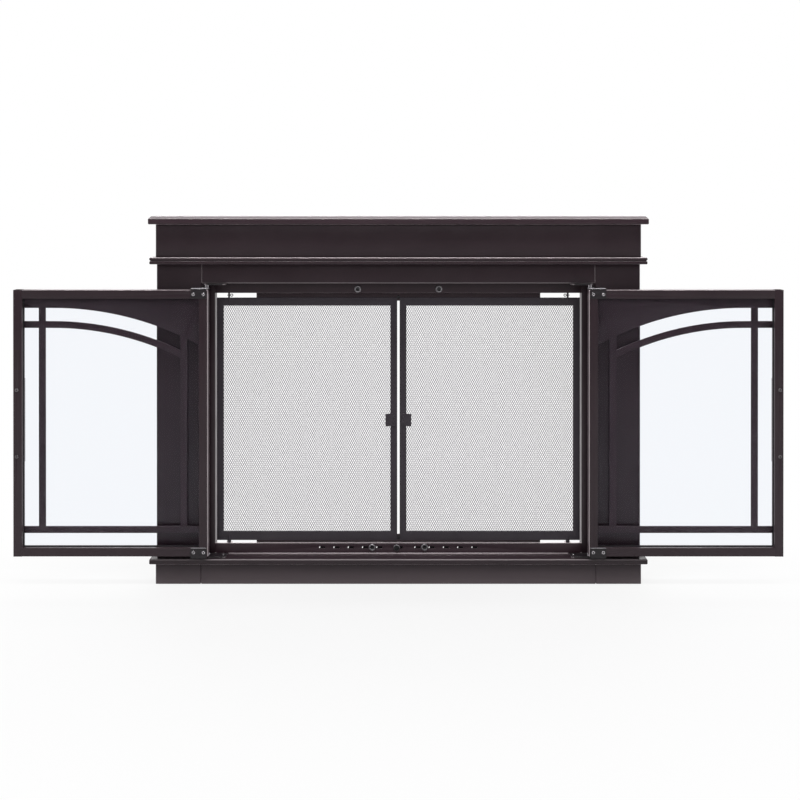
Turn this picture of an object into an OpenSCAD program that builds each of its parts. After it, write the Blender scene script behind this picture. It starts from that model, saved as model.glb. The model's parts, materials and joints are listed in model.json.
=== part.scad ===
// Hearth surround with a pair of framed glass doors that swing right back, a pair of
// mesh screens behind them and a sliding draft shutter under the screens.
// The origin is on the hearth, at the middle of the width, in the plane of the masonry.
// +X is to the right, +Y goes into the fireplace, so the front faces -Y, and +Z is up.
// The glass doors are drawn open, flat beside the surround, and the screens closed.

/* [Sheet steel] */
// Thickness of the folded sheet of the surround
sheet = 2; // [1.2:0.1:2.6]
// Outer radius of the folds that show
fold_r = 2.5; // [1:0.1:3.5]
// Colour of the coated steel
coat = [0.20, 0.17, 0.19];

/* [Surround, widths] */
// Width over both columns
body_w = 1115; // [1000:1:1300]
// Width of each column
column_w = 103.5; // [80:0.5:130]
// How far the mantel cap stands out at each end
cap_over = 15.1; // [6:0.1:30]
// How far the mid molding stands out at each end
molding_over = 12.2; // [5:0.1:25]
// How far the lower ledge stands out at each end
ledge_over = 14.2; // [5:0.1:25]

/* [Surround, heights] */
// Height of the plinth
plinth_h = 45.4; // [35:0.1:80]
// Height of the lower ledge
ledge_h = 11.9; // [8:0.1:18]
// Height from the ledge to the header
opening_h = 631.7; // [560:0.1:720]
// Height of the header panel
header_h = 45.2; // [40:0.1:80]
// Height of the mid molding
molding_h = 16.1; // [9:0.1:20]
// Height of the frieze panel
frieze_h = 75.5; // [60:0.5:120]
// Height of the mantel cap
cap_h = 18.5; // [13:0.1:26]
// Width of the chamfer along the upper edges of the mantel cap
cap_chamfer = 6; // [2:0.5:8]

/* [Surround, depths in front of the masonry] */
// Depth of the columns and the header
column_d = 34; // [31:0.5:40]
// How far the frieze stands in front of the columns
frieze_proud = 10; // [4:0.5:14]
// How far the plinth stands in front of the columns
plinth_proud = 12; // [6:0.5:14]
// How far the cap stands in front of the frieze
cap_proud = 10; // [4:0.5:20]
// How far the mid molding stands in front of the frieze
molding_proud = 9; // [4:0.5:14]
// How far the ledge stands in front of the plinth
ledge_proud = 3; // [1:0.5:8]
// Depth of the groove along the middle of the molding
groove_d = 1.5; // [0.5:0.1:1.8]
// Height of the groove along the middle of the molding
groove_h = 3; // [1:0.1:4]
// Width of the flanges that turn in against the masonry
wall_flange = 18; // [10:1:30]

/* [Inner frame] */
// Width of the jambs beside the screens
jamb_w = 26.5; // [22:0.5:34]
// Height of the rails that show above and below the screens
rail_reveal = 24.2; // [20:0.1:30]
// How far the inner frame reaches into the firebox behind the masonry plane
frame_reach = 22; // [14:1:40]
// Depth of the returns along the inner edges of the jambs
jamb_return = 27.5; // [12:0.5:31]
// Depth of the lip along the upper edge of the bottom rail
lip_d = 3; // [2.5:0.1:4]
// Width of the tabs of the bottom rail that carry the screens
tab_w = 14; // [12:0.5:18]
// Gap between the lengths of the plinth
plinth_joint = 1.2; // [0.4:0.1:2]
// How far the side plinths reach in behind the face of the centre one
plinth_tongue = 8; // [4:0.5:14]
// How far the back of the centre plinth stands behind the masonry plane
plinth_back = 14; // [8:1:30]
// Width and height of the notches in the lower corners of the bottom rail
corner_notch = 2.4; // [1:0.1:3]
// Radius of the bead along the foot of the bottom rail
bead_r = 2.2; // [1:0.1:3]
// Half length of the bead
bead_half = 396; // [300:1:420]
// Room between the closed glass doors and the face of the inner frame
leaf_room = 4; // [3.8:0.1:6]

/* [Draft shutter] */
// Air slots on each side of the knob
slots_a_side = 5; // [3:1:6]
// Distance between air slots
slot_pitch = 33.3; // [31:0.1:40]
// Distance of the first air slot from the middle
slot_first = 44.5; // [40:0.5:50]
// Length of an air slot
slot_l = 14.6; // [12:0.1:15]
// Height of an air slot
slot_h = 5; // [4:0.1:7]
// Height of the slots over the ledge
slot_z = 13.7; // [12:0.1:14]
// Travel of the shutter to the closed side
shut_travel = 5; // [3:0.5:6]
// Travel of the shutter to the open side
open_travel = 12; // [9:0.5:13]
// Thickness of the shutter plate
shutter_t = 1.2; // [0.8:0.1:1.6]
// Height of the shutter plate
shutter_h = 16; // [12:0.5:17]
// Play between the shutter and what guides it
shutter_play = 0.3; // [0.1:0.05:0.5]
// Place of the knob, to the right of the middle
knob_x = -4.2; // [-6:0.1:6]
// Diameter of the knob
knob_d = 15; // [12:0.5:18]
// Diameter of the knob's stem
stem_d = 5; // [4:0.5:6]
// How far the knob stands out from the rail
knob_h = 3.2; // [2:0.1:3.6]
// Radius of the rounding of the knob's rim
knob_round = 1.8; // [1:0.1:1.9]

/* [Magnetic catches] */
// Diameter of a door catch
catch_d = 16; // [12:0.5:18]
// How far a door catch stands out
catch_h = 3; // [2:0.1:3.6]
// Distance of the top catches from the middle
catch_top_x = 94.5; // [60:0.5:200]
// Distance of the bottom catches from the middle
catch_bottom_x = 61; // [59:0.5:63]
// Height of the top catches over the lower edge of the top rail
catch_top_z = 9.2; // [8.5:0.1:14]
// Height of the bottom catches over the ledge
catch_bottom_z = 14.2; // [10:0.1:15]
// Width of the rim of a door catch
catch_rim = 3.2; // [2.5:0.1:4]
// Radius of the rounding of a catch's rim
catch_round = 1.6; // [1:0.1:1.9]
// Depth of the well inside the rim
catch_well = 1.4; // [0.6:0.1:1.8]
// Diameter of the small magnets that hold the screens
screen_magnet_d = 8; // [5:0.5:9]
// Room between a closed screen and its small magnet
screen_magnet_play = 0.2; // [0.1:0.05:0.25]

/* [Glass doors] */
// Gap between a closed door and the column
hinge_gap = 7; // [6:0.1:9]
// Gap between the two closed doors
centre_gap = 5.2; // [4:0.1:8]
// Gap between a closed door and the header
head_gap = 12.9; // [12.5:0.1:15]
// Gap between a closed door and the ledge
foot_gap = 9.1; // [9:0.1:12]
// Depth of the door frame
door_t = 20; // [18:0.5:21]
// Width of the stiles and rails
stile_w = 20; // [19:0.5:25]
// Wall of the door frame's channel
channel_wall = 1.5; // [1.2:0.1:2]
// Thickness of the glass
glass_t = 4; // [3:0.1:5]
// How deep the glass sits in the frame
glass_grip = 8; // [5:0.5:10]
// Thickness of the glass gasket on each side
gasket_t = 0.5; // [0.3:0.1:0.8]
// Width of the gasket that shows inside the frame
gasket_lip = 1.2; // [0.6:0.1:2]

/* [Arched overlay] */
// Thickness of the overlay
overlay_t = 3; // [2:0.1:3.5]
// Width of the muntins and of the arched band
muntin_w = 15.7; // [12:0.1:20]
// Distance of the first upright from the door's free edge
upright_free = 54.5; // [45:0.5:75]
// Distance of the second upright from the door's hinge edge
upright_hinge = 49.5; // [42:0.5:70]
// Height of the lower muntin over the door's bottom edge
lower_muntin = 50; // [40:0.5:80]
// Length of the arch's level crown, from the free edge
crown_l = 87.3; // [80:0.5:110]
// Depth of the arched spandrel at its crown, from the door's top edge
crown_drop = 42.4; // [36:0.1:60]
// Radius of the arched spandrel's lower edge
arch_r = 701; // [650:1:900]
// Gap between the spandrel and the arched band
band_gap = 30.2; // [20:0.1:40]

/* [Door hinges] */
// Distance of the pivot from the door's hinge edge
pivot_in = 5.5; // [5:0.1:7]
// Distance of the pivot in front of the closed door's face
pivot_out = 1; // [0.5:0.1:1.5]
// Diameter of the pivot pins
pin_d = 6; // [5:0.5:7]
// Radial play of the pivot pins and screen pins
pin_play = 0.05; // [0.02:0.01:0.09]
// Width of a hinge plate
plate_w = 36; // [30:0.5:42]
// Distance of a hinge plate from the door's hinge edge
plate_in = 2.6; // [2:0.1:4]
// Thickness of a hinge plate's leaf
leaf_t = 2; // [1.5:0.1:2.2]
// Thickness of a top hinge plate's flange
top_flange = 3; // [2:0.1:3.5]
// Thickness of a bottom hinge plate's flange
bottom_flange = 4; // [3:0.1:4.5]
// Distance between the two screws of a hinge plate
plate_screws = 22.9; // [20:0.1:25]
// Diameter of the screw heads on the hinge plates
screw_head_d = 8; // [6:0.5:9]
// Height of the screw heads on the hinge plates
screw_head_h = 1.2; // [0.8:0.1:1.6]
// Height of the upright flank of a screw head
screw_flank = 0.4; // [0.2:0.1:0.6]
// Radius of the recess in a screw head
recess_r = 1.5; // [1:0.1:2]
// Diameter of the screw shanks
shank_d = 3.8; // [3:0.1:4.2]
// Play of the screw shanks in their holes
shank_play = 0.2; // [0.1:0.05:0.4]
// How far the hinge screws reach past the wall of the door frame
screw_past = 3; // [2:0.5:6]
// Length of a fixed hinge bracket
bracket_l = 50; // [44:0.5:56]
// Width of a fixed hinge bracket
bracket_w = 26; // [20:0.5:27]
// Thickness of a fixed hinge bracket
bracket_t = 3; // [2:0.1:3.2]
// Radius of the nose of hinge plates and brackets round the pin
nose_r = 6.5; // [5.5:0.1:7]
// Radius of the shoulder of a pivot pin
shoulder_r = 5.5; // [4.5:0.1:6]
// Radius of the rounding on a pin's shoulder
pin_round = 0.6; // [0.3:0.1:1]
// Gap between a pin's shoulder and the hinge plate on it
seat_play = 0.4; // [0.3:0.05:0.6]

/* [Door handles] */
// Distance between the two screws of a handle
handle_pitch = 152.4; // [96:0.1:200]
// Height of the handle's middle over the door's bottom edge
handle_z = 304.5; // [250:0.5:360]
// Distance of the handle's screws from the door's free edge
handle_in = 8.4; // [7.5:0.1:11]
// Length of the grip
grip_l = 196; // [170:1:260]
// Diameter of the grip
grip_d = 9; // [8:0.5:11]
// Radius of the rounding at the grip's ends
grip_round = 2; // [1:0.1:3.5]
// How far the grip's axis stands out from the door
grip_out = 23; // [20:0.5:27]
// Diameter of the posts
post_d = 8; // [7:0.5:10]
// How deep the handle screws run into the posts
handle_screw_in = 12; // [8:0.5:15]
// Diameter of the handle screws' heads
handle_head_d = 8.5; // [7:0.5:10]
// Height of the handle screws' heads
handle_head_h = 1.6; // [1:0.1:2]

/* [Screens] */
// Gap between a screen and the jamb
screen_side_gap = 3.7; // [2.5:0.1:5]
// Gap between the two screens
screen_centre_gap = 5.6; // [4:0.1:8]
// Gap between the screens and the top rail
screen_head_gap = 11.2; // [9:0.1:14]
// Gap between the screens and the bottom rail
screen_foot_gap = 5.4; // [4:0.1:8]
// Thickness of the screen frames
screen_t = 3; // [2.6:0.1:3.4]
// Distance of the screens' middle plane behind the face of the inner frame
screen_back = 5.5; // [5:0.1:6.5]
// Width of the upright bars of a screen frame
screen_stile = 15.9; // [13:0.1:20]
// Height of the top bar of a screen frame
screen_top_bar = 18.7; // [15:0.1:24]
// Height of the bottom bar of a screen frame
screen_bottom_bar = 21; // [16:0.1:26]
// Distance of a screen's pivot from its outer edge
screen_pivot_in = 28.2; // [22:0.1:34]
// Diameter of the screens' pivot pins
screen_pin_d = 4.6; // [3.6:0.1:5]
// Diameter of the split pins through the screens' upper pins
split_d = 1.8; // [1:0.1:2]
// Diameter of a split pin's eye
split_eye_d = 7.2; // [5:0.1:8]
// Gap between a split pin's eye and the screen's pin
split_gap = 0.3; // [0.3:0.05:0.6]
// How far a split pin reaches past the screen's pin
split_past = 2; // [1:0.5:4]
// Outer diameter of the bushings under the screens
bushing_d = 9; // [8:0.5:12]
// Gap between a bushing and its screen
bushing_play = 0.4; // [0.3:0.1:0.8]
// Half length of the strips that the screens close against
stop_half = 332; // [280:1:350]
// Height of the stop strips
stop_h = 19; // [16:0.5:24]
// Gap between the closed screens and the stop strips
stop_play = 0.5; // [0.3:0.1:1]

/* [Screen mesh] */
// Width of a diamond of the mesh
diamond_w = 36; // [30:1:60]
// Height of a diamond of the mesh
diamond_h = 66; // [55:1:110]
// Width of a strand
strand_w = 2; // [1.5:0.1:3]
// Thickness of the mesh
mesh_t = 1.2; // [0.8:0.1:1.4]
// How far the mesh runs in under the frame
mesh_grip = 5; // [3:0.5:8]

/* [Screen pulls] */
// Distance of a pull from its screen's inner edge
pull_in = 4.9; // [3:0.1:7]
// Length of a pull across the screen
pull_l = 22.3; // [18:0.1:28]
// Height of a pull
pull_h = 29; // [22:0.5:40]
// Height of a pull's lower edge over the ledge
pull_z = 296.7; // [250:0.5:340]
// Thickness of a pull
pull_t = 1.6; // [1.2:0.1:2]
// How far a pull's lip stands out from the screen
pull_out = 6.5; // [5:0.1:7]
// Distance between the two rivets of a pull
rivet_pitch = 12.2; // [9:0.1:16]
// Diameter of a rivet's head
rivet_d = 4.4; // [3.8:0.1:5]
// Height of a rivet's head
rivet_h = 1.3; // [0.8:0.1:1.6]
// Height of the upright flank of a rivet's head
rivet_flank = 0.3; // [0.2:0.1:0.4]
// Diameter of a rivet's shank
rivet_shank_d = 2.4; // [2:0.1:2.8]
// Distance of the rivets from a pull's edge
rivet_in = 3.3; // [2.8:0.1:4]
// Length of the flat part of a pull, up to its fold
pull_flat = 8.6; // [7.5:0.1:10]
// Length of a pull's lip
pull_lip = 1.6; // [1.2:0.1:4]

/* [Anchors] */
// Distance of the lintel clamps from the middle
clamp_x = 300; // [200:1:380]
// Width of a clamp and of a floor bracket
anchor_w = 32; // [26:1:40]
// Thickness of the clamps and floor brackets
anchor_t = 3; // [2.5:0.1:4]
// Reach of a lintel clamp behind the masonry plane
clamp_reach = 100; // [80:1:130]
// Height of a lintel clamp's finger
clamp_finger = 62; // [50:1:80]
// Diameter of a clamp screw
clamp_screw_d = 8; // [6:0.5:10]
// Length of a clamp screw up to its pad
clamp_screw_l = 36; // [28:1:60]
// Width over the corners of a clamp screw's head
clamp_head_d = 14.4; // [12:0.2:18]
// Height of a clamp screw's head
clamp_head_t = 5; // [4:0.5:8]
// Gap between a clamp and the head of its screw
clamp_head_gap = 2; // [0.5:0.5:8]
// Diameter of a clamp screw's pad
pad_d = 22; // [16:1:28]
// Thickness of a clamp screw's pad
pad_t = 4; // [3:0.5:6]
// Height of a clamp's leg behind the header
clamp_leg = 33; // [24:1:40]
// Distance of the floor brackets from the middle
floor_x = 380; // [300:1:400]
// Length of a floor bracket's foot
foot_l = 60; // [50:1:80]
// Height of a floor bracket's leg
foot_h = 60; // [52:1:70]
// Distance of the anchor hole from the floor bracket's leg
anchor_hole_in = 36; // [25:1:40]
// Diameter of the anchor hole in a floor bracket
anchor_hole_d = 8.5; // [6.5:0.5:11]

/* [Hidden] */
$fn = 64;

// Overlap that keeps a cut from ending flush with a face
cut = 1;
LEFT = -1;
RIGHT = 1;
steel = [0.62, 0.62, 0.64];
magnet_grey = [0.45, 0.45, 0.48];
glass_tint = [0.85, 0.90, 0.92, 0.35];
gasket_grey = [0.25, 0.25, 0.26];

// Heights of the surround's layers
ledge_z = plinth_h;
opening_z = ledge_z + ledge_h;
header_z = opening_z + opening_h;
molding_z = header_z + header_h;
frieze_z = molding_z + molding_h;
cap_z = frieze_z + frieze_h;

// Half widths and depths of the surround
body_half = body_w / 2;
opening_half = body_half - column_w;
frieze_d = column_d + frieze_proud;
cap_d = frieze_d + cap_proud;
molding_d = frieze_d + molding_proud;
plinth_d = column_d + plinth_proud;
ledge_d = plinth_d + ledge_proud;
inner_d = column_d - door_t - leaf_room;
jamb_half = opening_half - jamb_w;
low_rail_z = opening_z + rail_reveal;
high_rail_z = header_z - rail_reveal;

// Glass doors, with the distances u from the hinge edge and v from the outer face
door_w = (2 * opening_half - 2 * hinge_gap - centre_gap) / 2;
door_z = opening_z + foot_gap;
door_top = header_z - head_gap;
door_h = door_top - door_z;
pivot_x = opening_half - hinge_gap - pivot_in;
pivot_y = -(column_d + pivot_out);
hinge_edge_x = pivot_x - pivot_in;
outer_face_y = pivot_y - pivot_out;
inner_face_y = outer_face_y - door_t;
glass_v = (door_t - glass_t) / 2;
plate_u = plate_in + (plate_w - plate_screws) / 2;
hinge_screw_z = [door_z + stile_w / 2, door_top - stile_w / 2];
handle_screw_z = [door_z + handle_z - handle_pitch / 2, door_z + handle_z + handle_pitch / 2];
arch_u = door_w - crown_l;
arch_z = door_top - crown_drop - arch_r;

// Draft shutter
slot_xs = [for (i = [0:slots_a_side - 1], s = [LEFT, RIGHT]) s * (slot_first + i * slot_pitch)];
slot_mid_z = opening_z + slot_z;
shutter_y = -inner_d + sheet + shutter_play / 2;
shutter_z = slot_mid_z - shutter_h / 2;
shutter_half = slot_first + slots_a_side * slot_pitch;
guide_y = shutter_y + shutter_t + shutter_play;

// Screens
screen_outer = jamb_half - screen_side_gap;
screen_inner = screen_centre_gap / 2;
screen_z = low_rail_z + screen_foot_gap;
screen_top = high_rail_z - screen_head_gap;
screen_y = -inner_d + screen_back;
screen_front = screen_y - screen_t / 2;
screen_rear = screen_y + screen_t / 2;
screen_pivot_x = screen_outer - screen_pivot_in;
stop_y = screen_rear + stop_play;
split_z = screen_top + screen_head_gap / 2;
pull_low = opening_z + pull_z;
pull_rivet_x = screen_inner + pull_in + rivet_in;
pull_rivet_z = [pull_low + (pull_h - rivet_pitch) / 2, pull_low + (pull_h + rivet_pitch) / 2];

// Fixed hinge brackets and anchors
bracket_screw_x = pivot_x + nose_r - bracket_l + screw_head_d;
bracket_screw_y = pivot_y - nose_r + bracket_w - screw_head_d;
clamp_z = header_z;
clamp_screw_z = clamp_z + clamp_finger - anchor_w / 2;
finger_y = clamp_reach - anchor_t;

// ---------------------------------------------------------------- helpers

// A prism along X from x0 to x1, of an outline drawn as [y, z]
module along_x(x0, x1) {
    translate([x0, 0, 0]) rotate([90, 0, 90]) linear_extrude(x1 - x0) children();
}

// A prism along Y from y0 to y1, of an outline drawn as [x, z]
module along_y(y0, y1) {
    translate([0, y1, 0]) rotate([90, 0, 0]) linear_extrude(y1 - y0) children();
}

// A prism along Z from z0 to z1, of an outline drawn as [x, y]
module along_z(z0, z1) {
    translate([0, 0, z0]) linear_extrude(z1 - z0) children();
}

module block(low, high) {
    translate(low) cube(high - low);
}

// Draws the right-hand piece, or its mirror image on the left
module handed(side) {
    mirror([side == LEFT ? 1 : 0, 0, 0]) children();
}

// A rectangle; soft tells which corners are rounded: low-low, high-low, high-high, low-high
module soft_square(low, high, r, soft) {
    corners = [low, [high[0], low[1]], high, [low[0], high[1]]];
    inward = [[1, 1], [-1, 1], [-1, -1], [1, -1]];
    difference() {
        translate(low) square(high - low);
        for (i = [0:3]) {
            if (soft[i]) {
                centre = corners[i] + r * inward[i];
                difference() {
                    translate(corners[i] + (r - cut) / 2 * inward[i]) square(r + cut, center = true);
                    translate(centre) circle(r);
                }
            }
        }
    }
}

// A folded tray, open to the back, with rounded folds along its front and end edges
module tray(half, depth, z0, z1) {
    difference() {
        intersection() {
            along_x(-half, half) soft_square([-depth, z0], [0, z1], fold_r, [1, 0, 0, 1]);
            along_y(-depth, 0) soft_square([-half, z0], [half, z1], fold_r, [1, 1, 1, 1]);
        }
        block([-half + sheet, -depth + sheet, z0 + sheet], [half - sheet, cut, z1 - sheet]);
    }
}

// ---------------------------------------------------------------- surround

// Cuts a corner of an outline at 45 degrees
module corner_cut(corner, width) {
    translate(corner) rotate(45) square(width * sqrt(2), center = true);
}

// A box from the front at depth to y = back, with chamfered upper edges at the front and the
// ends; rounded tells whether the lower edges there are rounded
module cap_block(half, depth, back, z0, z1, chamfer, rounded) {
    intersection() {
        along_x(-half, half) difference() {
            soft_square([-depth, z0], [back, z1], fold_r, [rounded, 0, 0, 0]);
            corner_cut([-depth, z1], chamfer);
        }
        along_y(-depth, back) difference() {
            soft_square([-half, z0], [half, z1], fold_r, [rounded, rounded, 0, 0]);
            corner_cut([-half, z1], chamfer);
            corner_cut([half, z1], chamfer);
        }
    }
}

module mantel_cap() {
    half = body_half + cap_over;
    top = cap_z + cap_h;
    inner_chamfer = max(cut / 10, cap_chamfer - (2 - sqrt(2)) * sheet);
    color(coat) difference() {
        cap_block(half, cap_d, 0, cap_z, top, cap_chamfer, 1);
        cap_block(half - sheet, cap_d - sheet, cut, cap_z + sheet, top - sheet, inner_chamfer, 0);
    }
}

module frieze_panel() {
    color(coat) difference() {
        along_z(frieze_z, cap_z)
            soft_square([-body_half, -frieze_d], [body_half, 0], fold_r, [1, 1, 0, 0]);
        block([-body_half + sheet, -frieze_d + sheet, frieze_z + sheet],
            [body_half - sheet, cut, cap_z - sheet]);
    }
}

module mid_molding() {
    half = body_half + molding_over;
    groove_z = molding_z + (molding_h - groove_h) / 2;
    color(coat) difference() {
        tray(half, molding_d, molding_z, frieze_z);
        difference() {
            block([-half - cut, -molding_d - cut, groove_z], [half + cut, cut, groove_z + groove_h]);
            block([-half + groove_d, -molding_d + groove_d, groove_z - cut],
                [half - groove_d, 2 * cut, groove_z + groove_h + cut]);
        }
    }
}

module header_panel() {
    color(coat) difference() {
        along_x(-opening_half, opening_half)
            soft_square([-column_d, header_z], [-inner_d, molding_z], fold_r, [1, 0, 0, 0]);
        block([-opening_half - cut, -column_d + sheet, header_z + sheet],
            [opening_half + cut, cut, molding_z - sheet]);
    }
}

module column(side) {
    color(coat) handed(side) difference() {
        along_z(opening_z, molding_z)
            soft_square([opening_half, -column_d], [body_half, 0], fold_r, [1, 1, 0, 0]);
        block([opening_half + sheet, -column_d + sheet, opening_z - cut],
            [body_half - sheet, -sheet, molding_z + cut]);
        block([opening_half + sheet + wall_flange, -sheet - cut, opening_z - cut],
            [body_half - sheet - wall_flange, cut, molding_z + cut]);
    }
}

module base_ledge() {
    color(coat) difference() {
        tray(body_half + ledge_over, ledge_d, ledge_z, opening_z);
        block([-opening_half, -inner_d, ledge_z - cut], [opening_half, cut, opening_z + cut]);
    }
}

module side_plinth(side) {
    color(coat) handed(side) difference() {
        along_z(0, ledge_z)
            soft_square([opening_half, -plinth_d], [body_half, 0], fold_r, [0, 1, 0, 0]);
        block([opening_half + sheet, -plinth_d + sheet, sheet],
            [body_half - sheet, cut, ledge_z - sheet]);
    }
    color(coat) handed(side)
        block([opening_half - plinth_joint - plinth_tongue, -plinth_d + sheet, sheet],
            [opening_half + sheet, -plinth_d + 2 * sheet, ledge_z - sheet]);
}

module centre_plinth() {
    half = opening_half - plinth_joint;
    color(coat) difference() {
        block([-half, -plinth_d, 0], [half, plinth_back, ledge_z]);
        block([-half - cut, -plinth_d + sheet, sheet],
            [half + cut, plinth_back + cut, ledge_z - sheet]);
    }
}

// ---------------------------------------------------------------- inner frame

module inner_top_rail() {
    color(coat) difference() {
        block([-jamb_half, -inner_d, high_rail_z], [jamb_half, frame_reach, molding_z]);
        block([-jamb_half - cut, -inner_d + sheet, high_rail_z + sheet],
            [jamb_half + cut, frame_reach + cut, molding_z + cut]);
        screen_pin_holes(high_rail_z);
    }
}

// The rail's face with a bead along its foot, the shelf that the stop strip stands on, and a
// tab under each screen's pin
module inner_bottom_rail() {
    stem_r = stem_d / 2;
    under_z = low_rail_z - sheet;
    color(coat) difference() {
        union() {
            block([-jamb_half, -inner_d, ledge_z], [jamb_half, -inner_d + sheet, low_rail_z]);
            block([-jamb_half, -inner_d, under_z], [jamb_half, -inner_d + lip_d, low_rail_z]);
            block([-stop_half, -inner_d, under_z], [stop_half, frame_reach, low_rail_z]);
            along_x(-bead_half, bead_half) intersection() {
                translate([-inner_d, opening_z]) circle(bead_r);
                translate([-inner_d - bead_r, opening_z]) square(bead_r);
            }
            for (x = [-screen_pivot_x, screen_pivot_x]) {
                block([x - tab_w / 2, -inner_d, under_z],
                    [x + tab_w / 2, screen_y + tab_w / 2, low_rail_z]);
            }
        }
        screen_pin_holes(under_z);
        for (x = [-jamb_half, jamb_half]) {
            block([x - corner_notch, -inner_d - cut, opening_z],
                [x + corner_notch, -inner_d + sheet + cut, opening_z + corner_notch]);
        }
        along_y(-inner_d - cut, -inner_d + sheet + cut) {
            for (x = slot_xs) {
                round_slot(x - slot_l / 2, x + slot_l / 2, slot_mid_z, slot_h / 2);
            }
            round_slot(knob_x - shut_travel - stem_r - shutter_play,
                knob_x + open_travel + stem_r + shutter_play,
                slot_mid_z, stem_r + shutter_play);
        }
    }
}

// A slot with round ends, drawn as [x, z]
module round_slot(x0, x1, z, r) {
    translate([x0 + r, z - r]) square([x1 - x0 - 2 * r, 2 * r]);
    for (x = [x0 + r, x1 - r]) {
        translate([x, z]) circle(r);
    }
}

// The holes for the screens' pins in a rail's flange whose lower face is at z
module screen_pin_holes(z) {
    for (s = [LEFT, RIGHT]) {
        translate([s * screen_pivot_x, screen_y, z - cut])
            cylinder(h = sheet + 2 * cut, d = screen_pin_d + 2 * pin_play);
    }
}

// A face beside the screen, with a short return along the screen and a long one by the column
module jamb(side) {
    color(coat) handed(side) {
        block([jamb_half, -inner_d, ledge_z], [opening_half, -inner_d + sheet, molding_z]);
        block([jamb_half, -inner_d, ledge_z],
            [jamb_half + sheet, -inner_d + jamb_return, molding_z]);
        block([opening_half - sheet, -inner_d, ledge_z], [opening_half, frame_reach, molding_z]);
    }
}

module top_stop_strip() {
    color(coat) difference() {
        block([-stop_half, stop_y, high_rail_z - stop_h], [stop_half, frame_reach, high_rail_z]);
        block([-stop_half - cut, stop_y + sheet, high_rail_z - stop_h - cut],
            [stop_half + cut, frame_reach + cut, high_rail_z - sheet]);
    }
}

module bottom_stop_strip() {
    color(coat) difference() {
        block([-stop_half, stop_y, low_rail_z], [stop_half, frame_reach, low_rail_z + stop_h]);
        block([-stop_half - cut, stop_y + sheet, low_rail_z + sheet],
            [stop_half + cut, frame_reach + cut, low_rail_z + stop_h + cut]);
    }
}

// A round cup magnet with a turned rim, standing out towards -Y from y
module cup_magnet(x, y, z, d, h) {
    translate([x, y, z]) rotate([90, 0, 0]) rotate_extrude() difference() {
        soft_square([0, 0], [d / 2, h], catch_round, [0, 0, 1, 0]);
        translate([0, h - catch_well]) square([d / 2 - catch_rim, catch_well + cut]);
    }
}

module magnet_catches() {
    magnet_t = stop_play - screen_magnet_play;
    color(magnet_grey) {
        for (s = [LEFT, RIGHT]) {
            cup_magnet(s * catch_top_x, -inner_d, high_rail_z + catch_top_z, catch_d, catch_h);
            cup_magnet(s * catch_bottom_x, -inner_d, opening_z + catch_bottom_z, catch_d, catch_h);
        }
        for (z = [low_rail_z + stop_h / 2, high_rail_z - stop_h / 2 - sheet / 2]) {
            translate([0, stop_y, z]) rotate([90, 0, 0])
                cylinder(h = magnet_t, d = screen_magnet_d);
        }
    }
}

// ---------------------------------------------------------------- fixed hinge parts

// A bracket plate with a round nose at the pivot, its plate from z0 to z1
module bracket_plate(z0, z1) {
    front = pivot_y - nose_r;
    along_z(z0, z1) {
        soft_square([pivot_x + nose_r - bracket_l, front], [pivot_x + nose_r, front + bracket_w],
            nose_r, [1, 1, 0, 0]);
    }
}

module hinge_brackets(side) {
    color(coat) handed(side) {
        difference() {
            bracket_plate(opening_z, opening_z + bracket_t);
            bracket_screw_hole(opening_z - cut);
        }
        difference() {
            bracket_plate(header_z - bracket_t, header_z);
            bracket_screw_hole(header_z - bracket_t - cut);
        }
    }
}

// A pin on the origin towards +Z, with a shoulder of this height that the hinge plate rides on
module pivot_pin(shoulder_h, length) {
    rotate_extrude() {
        soft_square([0, 0], [shoulder_r, shoulder_h], pin_round, [0, 0, 1, 0]);
        square([pin_d / 2, length]);
    }
}

module hinge_pins() {
    foot = opening_z + bracket_t;
    head = header_z - bracket_t;
    color(steel) for (side = [LEFT, RIGHT]) {
        handed(side) translate([pivot_x, pivot_y, 0]) {
            translate([0, 0, foot])
                pivot_pin(door_z - bottom_flange - seat_play - foot, door_z - seat_play - foot);
            translate([0, 0, head]) mirror([0, 0, 1])
                pivot_pin(head - door_top - top_flange - seat_play, head - door_top - seat_play);
        }
    }
}

module bracket_screw_hole(z) {
    translate([bracket_screw_x, bracket_screw_y, z])
        cylinder(h = bracket_t + 2 * cut, d = shank_d + shank_play);
}

// A pan head screw with a recess, its head standing on the origin towards +Z
module pan_screw(head_d, head_h, shank, length) {
    rotate_extrude() {
        difference() {
            soft_square([0, 0], [head_d / 2, head_h], head_h - screw_flank, [0, 0, 1, 0]);
            translate([0, screw_flank]) square([recess_r, head_h]);
        }
        translate([0, -length]) square([shank / 2, length + screw_flank]);
    }
}

module bracket_screws() {
    color(steel) for (s = [LEFT, RIGHT]) {
        translate([s * bracket_screw_x, bracket_screw_y, opening_z + bracket_t])
            pan_screw(screw_head_d, screw_head_h, shank_d, bracket_t);
        translate([s * bracket_screw_x, bracket_screw_y, header_z - bracket_t]) mirror([0, 0, 1])
            pan_screw(screw_head_d, screw_head_h, shank_d, bracket_t);
    }
}

module screen_bushings() {
    color(steel) for (s = [LEFT, RIGHT]) {
        translate([s * screen_pivot_x, screen_y, low_rail_z]) difference() {
            cylinder(h = screen_foot_gap - bushing_play, d = bushing_d);
            translate([0, 0, -cut])
                cylinder(h = screen_foot_gap + 2 * cut, d = screen_pin_d + 2 * pin_play);
        }
    }
}

// ---------------------------------------------------------------- anchors

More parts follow.
